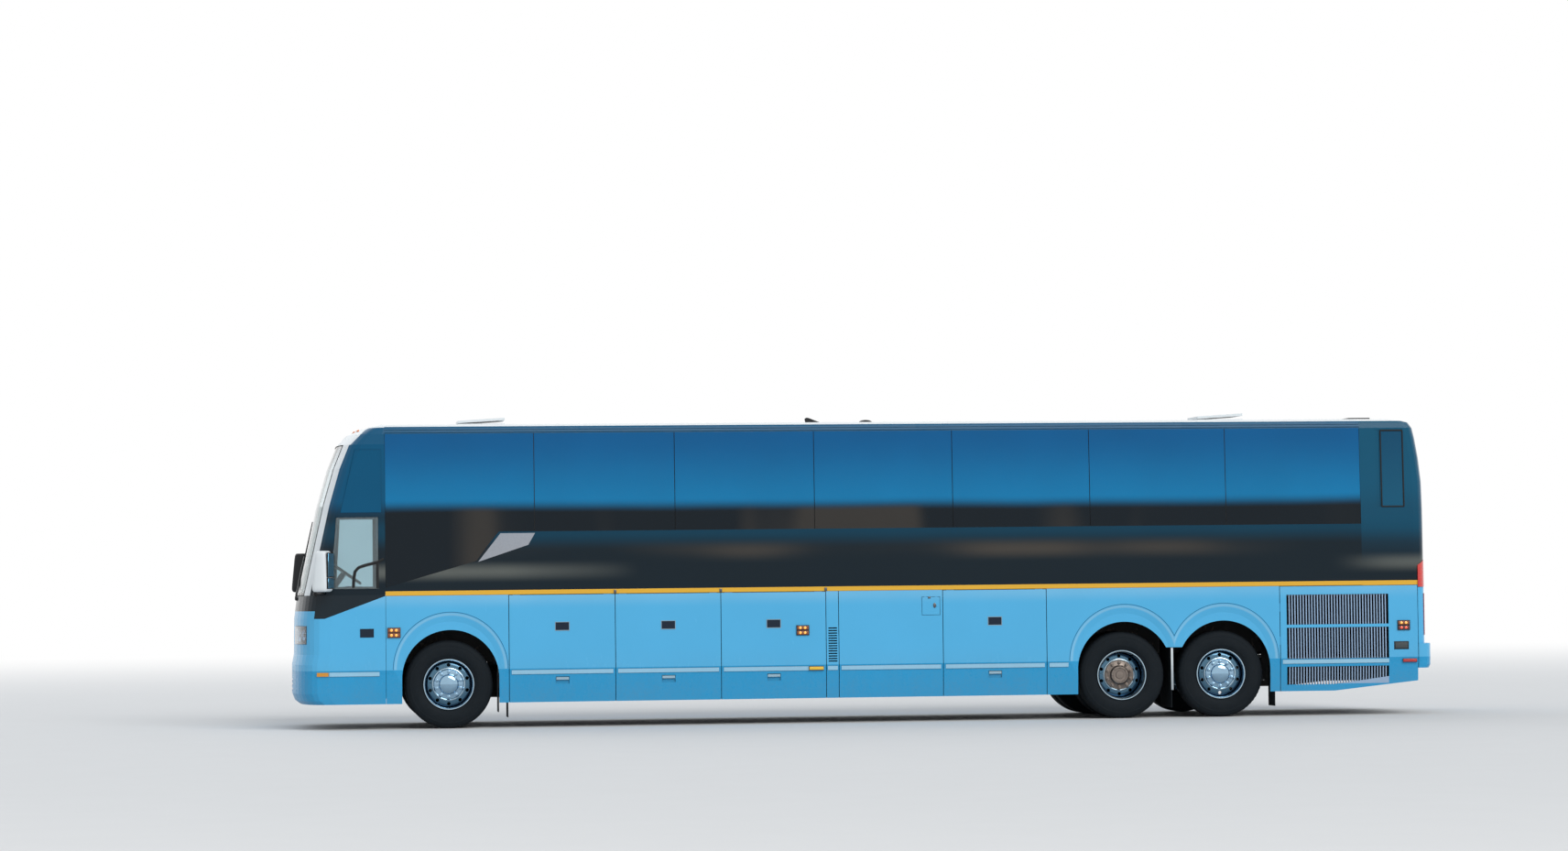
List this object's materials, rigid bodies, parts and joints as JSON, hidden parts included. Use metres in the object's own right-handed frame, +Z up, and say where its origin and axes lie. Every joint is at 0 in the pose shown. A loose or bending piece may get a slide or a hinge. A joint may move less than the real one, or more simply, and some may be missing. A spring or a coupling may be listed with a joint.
{
  "type": "airport passenger coach",
  "caption": "High-floor airport passenger coach with luggage doors below a black window band, steered front wheels, a drive and a tag axle at the rear, and doors and roof hatches that open.",
  "frame": {"origin": "on the ground, below the middle of the length and width over all", "axes": "+X forward, +Y to the left, +Z up"},
  "size_m": [13.72, 3.08, 3.6751],
  "materials": {
    "body_paint": "gloss sky-blue paint",
    "white_paint": "gloss white paint",
    "black_gloss": "gloss black paint",
    "chassis_steel": "satin chassis paint",
    "tinted_glass": "blue tinted glass",
    "interior_plastic": "matte plastic",
    "seat_fabric": "woven cloth",
    "lamp_clear": "clear lens",
    "lamp_amber": "amber lens",
    "lamp_red": "red lens",
    "flap_rubber": "black rubber",
    "tyre_rubber": "tyre rubber, with a polished aluminium rim"
  },
  "bodies": {
    "coach": {"underframe": "chassis_steel", "wheel_housings": "chassis_steel", "cabin_floor": "interior_plastic", "roof_shell": "white_paint", "front_cap": "white_paint", "rear_cap": "black_gloss", "side_left": "black_gloss", "side_right": "black_gloss", "side_glass_left": "tinted_glass", "side_glass_right": "tinted_glass", "windscreen": "tinted_glass", "cab_side_left": "black_gloss", "cab_side_right": "black_gloss", "driver_glass": "tinted_glass", "lower_left": "body_paint", "lower_right": "body_paint", "front_mask": "body_paint", "front_bumper": "body_paint", "rear_bumper": "body_paint", "rear_window": "tinted_glass", "headlamps": "lamp_clear", "side_lamps": "lamp_amber", "tail_lamps": "lamp_red", "mirrors": "white_paint", "dashboard": "interior_plastic", "driver_seat": "seat_fabric", "seats_left": "seat_fabric", "seats_right": "seat_fabric", "parcel_racks": "interior_plastic", "engine": "chassis_steel", "front_axle": "chassis_steel", "drive_axle": "chassis_steel", "tag_axle": "chassis_steel", "suspension": "chassis_steel", "mudflaps": "flap_rubber"},
    "knuckle_left": {"knuckle_left": "chassis_steel"},
    "knuckle_right": {"knuckle_right": "chassis_steel"},
    "wheel_front_left": {"wheel_front_left": "tyre_rubber"},
    "wheel_front_right": {"wheel_front_right": "tyre_rubber"},
    "wheel_drive_left": {"wheel_drive_left": "tyre_rubber"},
    "wheel_drive_right": {"wheel_drive_right": "tyre_rubber"},
    "wheel_tag_left": {"wheel_tag_left": "tyre_rubber"},
    "wheel_tag_right": {"wheel_tag_right": "tyre_rubber"},
    "luggage_door_left_1": {"luggage_door_left_1": "body_paint"},
    "luggage_door_left_2": {"luggage_door_left_2": "body_paint"},
    "luggage_door_left_3": {"luggage_door_left_3": "body_paint"},
    "luggage_door_right_1": {"luggage_door_right_1": "body_paint"},
    "luggage_door_right_2": {"luggage_door_right_2": "body_paint"},
    "luggage_door_right_3": {"luggage_door_right_3": "body_paint"},
    "service_door_left": {"service_door_left": "body_paint"},
    "service_door_right": {"service_door_right": "body_paint"},
    "grille_door_left": {"grille_door_left": "body_paint"},
    "grille_door_right": {"grille_door_right": "body_paint"},
    "engine_door": {"engine_door": "body_paint"},
    "entry_door": {"entry_door": "black_gloss"},
    "fuel_flap": {"fuel_flap": "body_paint"},
    "hatch_front": {"hatch_front": "white_paint"},
    "hatch_rear": {"hatch_rear": "white_paint"}
  },
  "joints": [
    {"name": "steer_left", "type": "hinge", "parent": "coach", "child": "knuckle_left", "pos_m": [5.04, 0.87, 0.515], "axis": [0, 0, 1], "range_deg": [-45, 45]},
    {"name": "spin_front_left", "type": "hinge", "parent": "knuckle_left", "child": "wheel_front_left", "pos_m": [5.04, 1.05, 0.515], "axis": [0, 1, 0], "continuous": true},
    {"name": "spin_drive_left", "type": "hinge", "parent": "coach", "child": "wheel_drive_left", "pos_m": [-2.98, 1.05, 0.515], "axis": [0, 1, 0], "continuous": true},
    {"name": "spin_tag_left", "type": "hinge", "parent": "coach", "child": "wheel_tag_left", "pos_m": [-4.19, 1.05, 0.515], "axis": [0, 1, 0], "continuous": true},
    {"name": "luggage_left_1", "type": "hinge", "parent": "coach", "child": "luggage_door_left_1", "pos_m": [3.7127, 1.3, 1.552], "axis": [1, 0, 0], "range_deg": [0, 85]},
    {"name": "luggage_left_2", "type": "hinge", "parent": "coach", "child": "luggage_door_left_2", "pos_m": [2.4641, 1.3, 1.552], "axis": [1, 0, 0], "range_deg": [0, 85]},
    {"name": "luggage_left_3", "type": "hinge", "parent": "coach", "child": "luggage_door_left_3", "pos_m": [1.2155, 1.3, 1.552], "axis": [1, 0, 0], "range_deg": [0, 85]},
    {"name": "service_left", "type": "hinge", "parent": "coach", "child": "service_door_left", "pos_m": [-1.433, 1.3, 1.552], "axis": [1, 0, 0], "range_deg": [0, 85]},
    {"name": "grille_left", "type": "hinge", "parent": "coach", "child": "grille_door_left", "pos_m": [-4.9, 1.303, 0.92], "axis": [0, 0, -1], "range_deg": [0, 90]},
    {"name": "steer_right", "type": "hinge", "parent": "coach", "child": "knuckle_right", "pos_m": [5.04, -0.87, 0.515], "axis": [0, 0, 1], "range_deg": [-45, 45]},
    {"name": "spin_front_right", "type": "hinge", "parent": "knuckle_right", "child": "wheel_front_right", "pos_m": [5.04, -1.05, 0.515], "axis": [0, 1, 0], "continuous": true},
    {"name": "spin_drive_right", "type": "hinge", "parent": "coach", "child": "wheel_drive_right", "pos_m": [-2.98, -1.05, 0.515], "axis": [0, 1, 0], "continuous": true},
    {"name": "spin_tag_right", "type": "hinge", "parent": "coach", "child": "wheel_tag_right", "pos_m": [-4.19, -1.05, 0.515], "axis": [0, 1, 0], "continuous": true},
    {"name": "luggage_right_1", "type": "hinge", "parent": "coach", "child": "luggage_door_right_1", "pos_m": [3.7127, -1.3, 1.552], "axis": [-1, 0, 0], "range_deg": [0, 85]},
    {"name": "luggage_right_2", "type": "hinge", "parent": "coach", "child": "luggage_door_right_2", "pos_m": [2.4641, -1.3, 1.552], "axis": [-1, 0, 0], "range_deg": [0, 85]},
    {"name": "luggage_right_3", "type": "hinge", "parent": "coach", "child": "luggage_door_right_3", "pos_m": [1.2155, -1.3, 1.552], "axis": [-1, 0, 0], "range_deg": [0, 85]},
    {"name": "service_right", "type": "hinge", "parent": "coach", "child": "service_door_right", "pos_m": [-1.433, -1.3, 1.552], "axis": [-1, 0, 0], "range_deg": [0, 85]},
    {"name": "grille_right", "type": "hinge", "parent": "coach", "child": "grille_door_right", "pos_m": [-4.9, -1.303, 0.92], "axis": [0, 0, 1], "range_deg": [0, 90]},
    {"name": "engine_lid", "type": "hinge", "parent": "coach", "child": "engine_door", "pos_m": [-6.795, 0, 1.843], "axis": [0, 1, 0], "range_deg": [0, 80]},
    {"name": "entry", "type": "hinge", "parent": "coach", "child": "entry_door", "pos_m": [6.445, -1.3, 1], "axis": [0, 0, 1], "range_deg": [0, 90]},
    {"name": "fuel", "type": "hinge", "parent": "coach", "child": "fuel_flap", "pos_m": [-0.666, 1.298, 1.474], "axis": [1, 0, 0], "range_deg": [0, 100]},
    {"name": "roof_front", "type": "hinge", "parent": "coach", "child": "hatch_front", "pos_m": [4.871, 0, 3.611], "axis": [0, 1, 0], "range_deg": [-3.5, 70]},
    {"name": "roof_rear", "type": "hinge", "parent": "coach", "child": "hatch_rear", "pos_m": [-4.164, 0, 3.611], "axis": [0, 1, 0], "range_deg": [-3.5, 70]}
  ],
  "couplings": [
    {"joint": "steer_right", "follows": "steer_left", "ratio": 1}
  ]
}
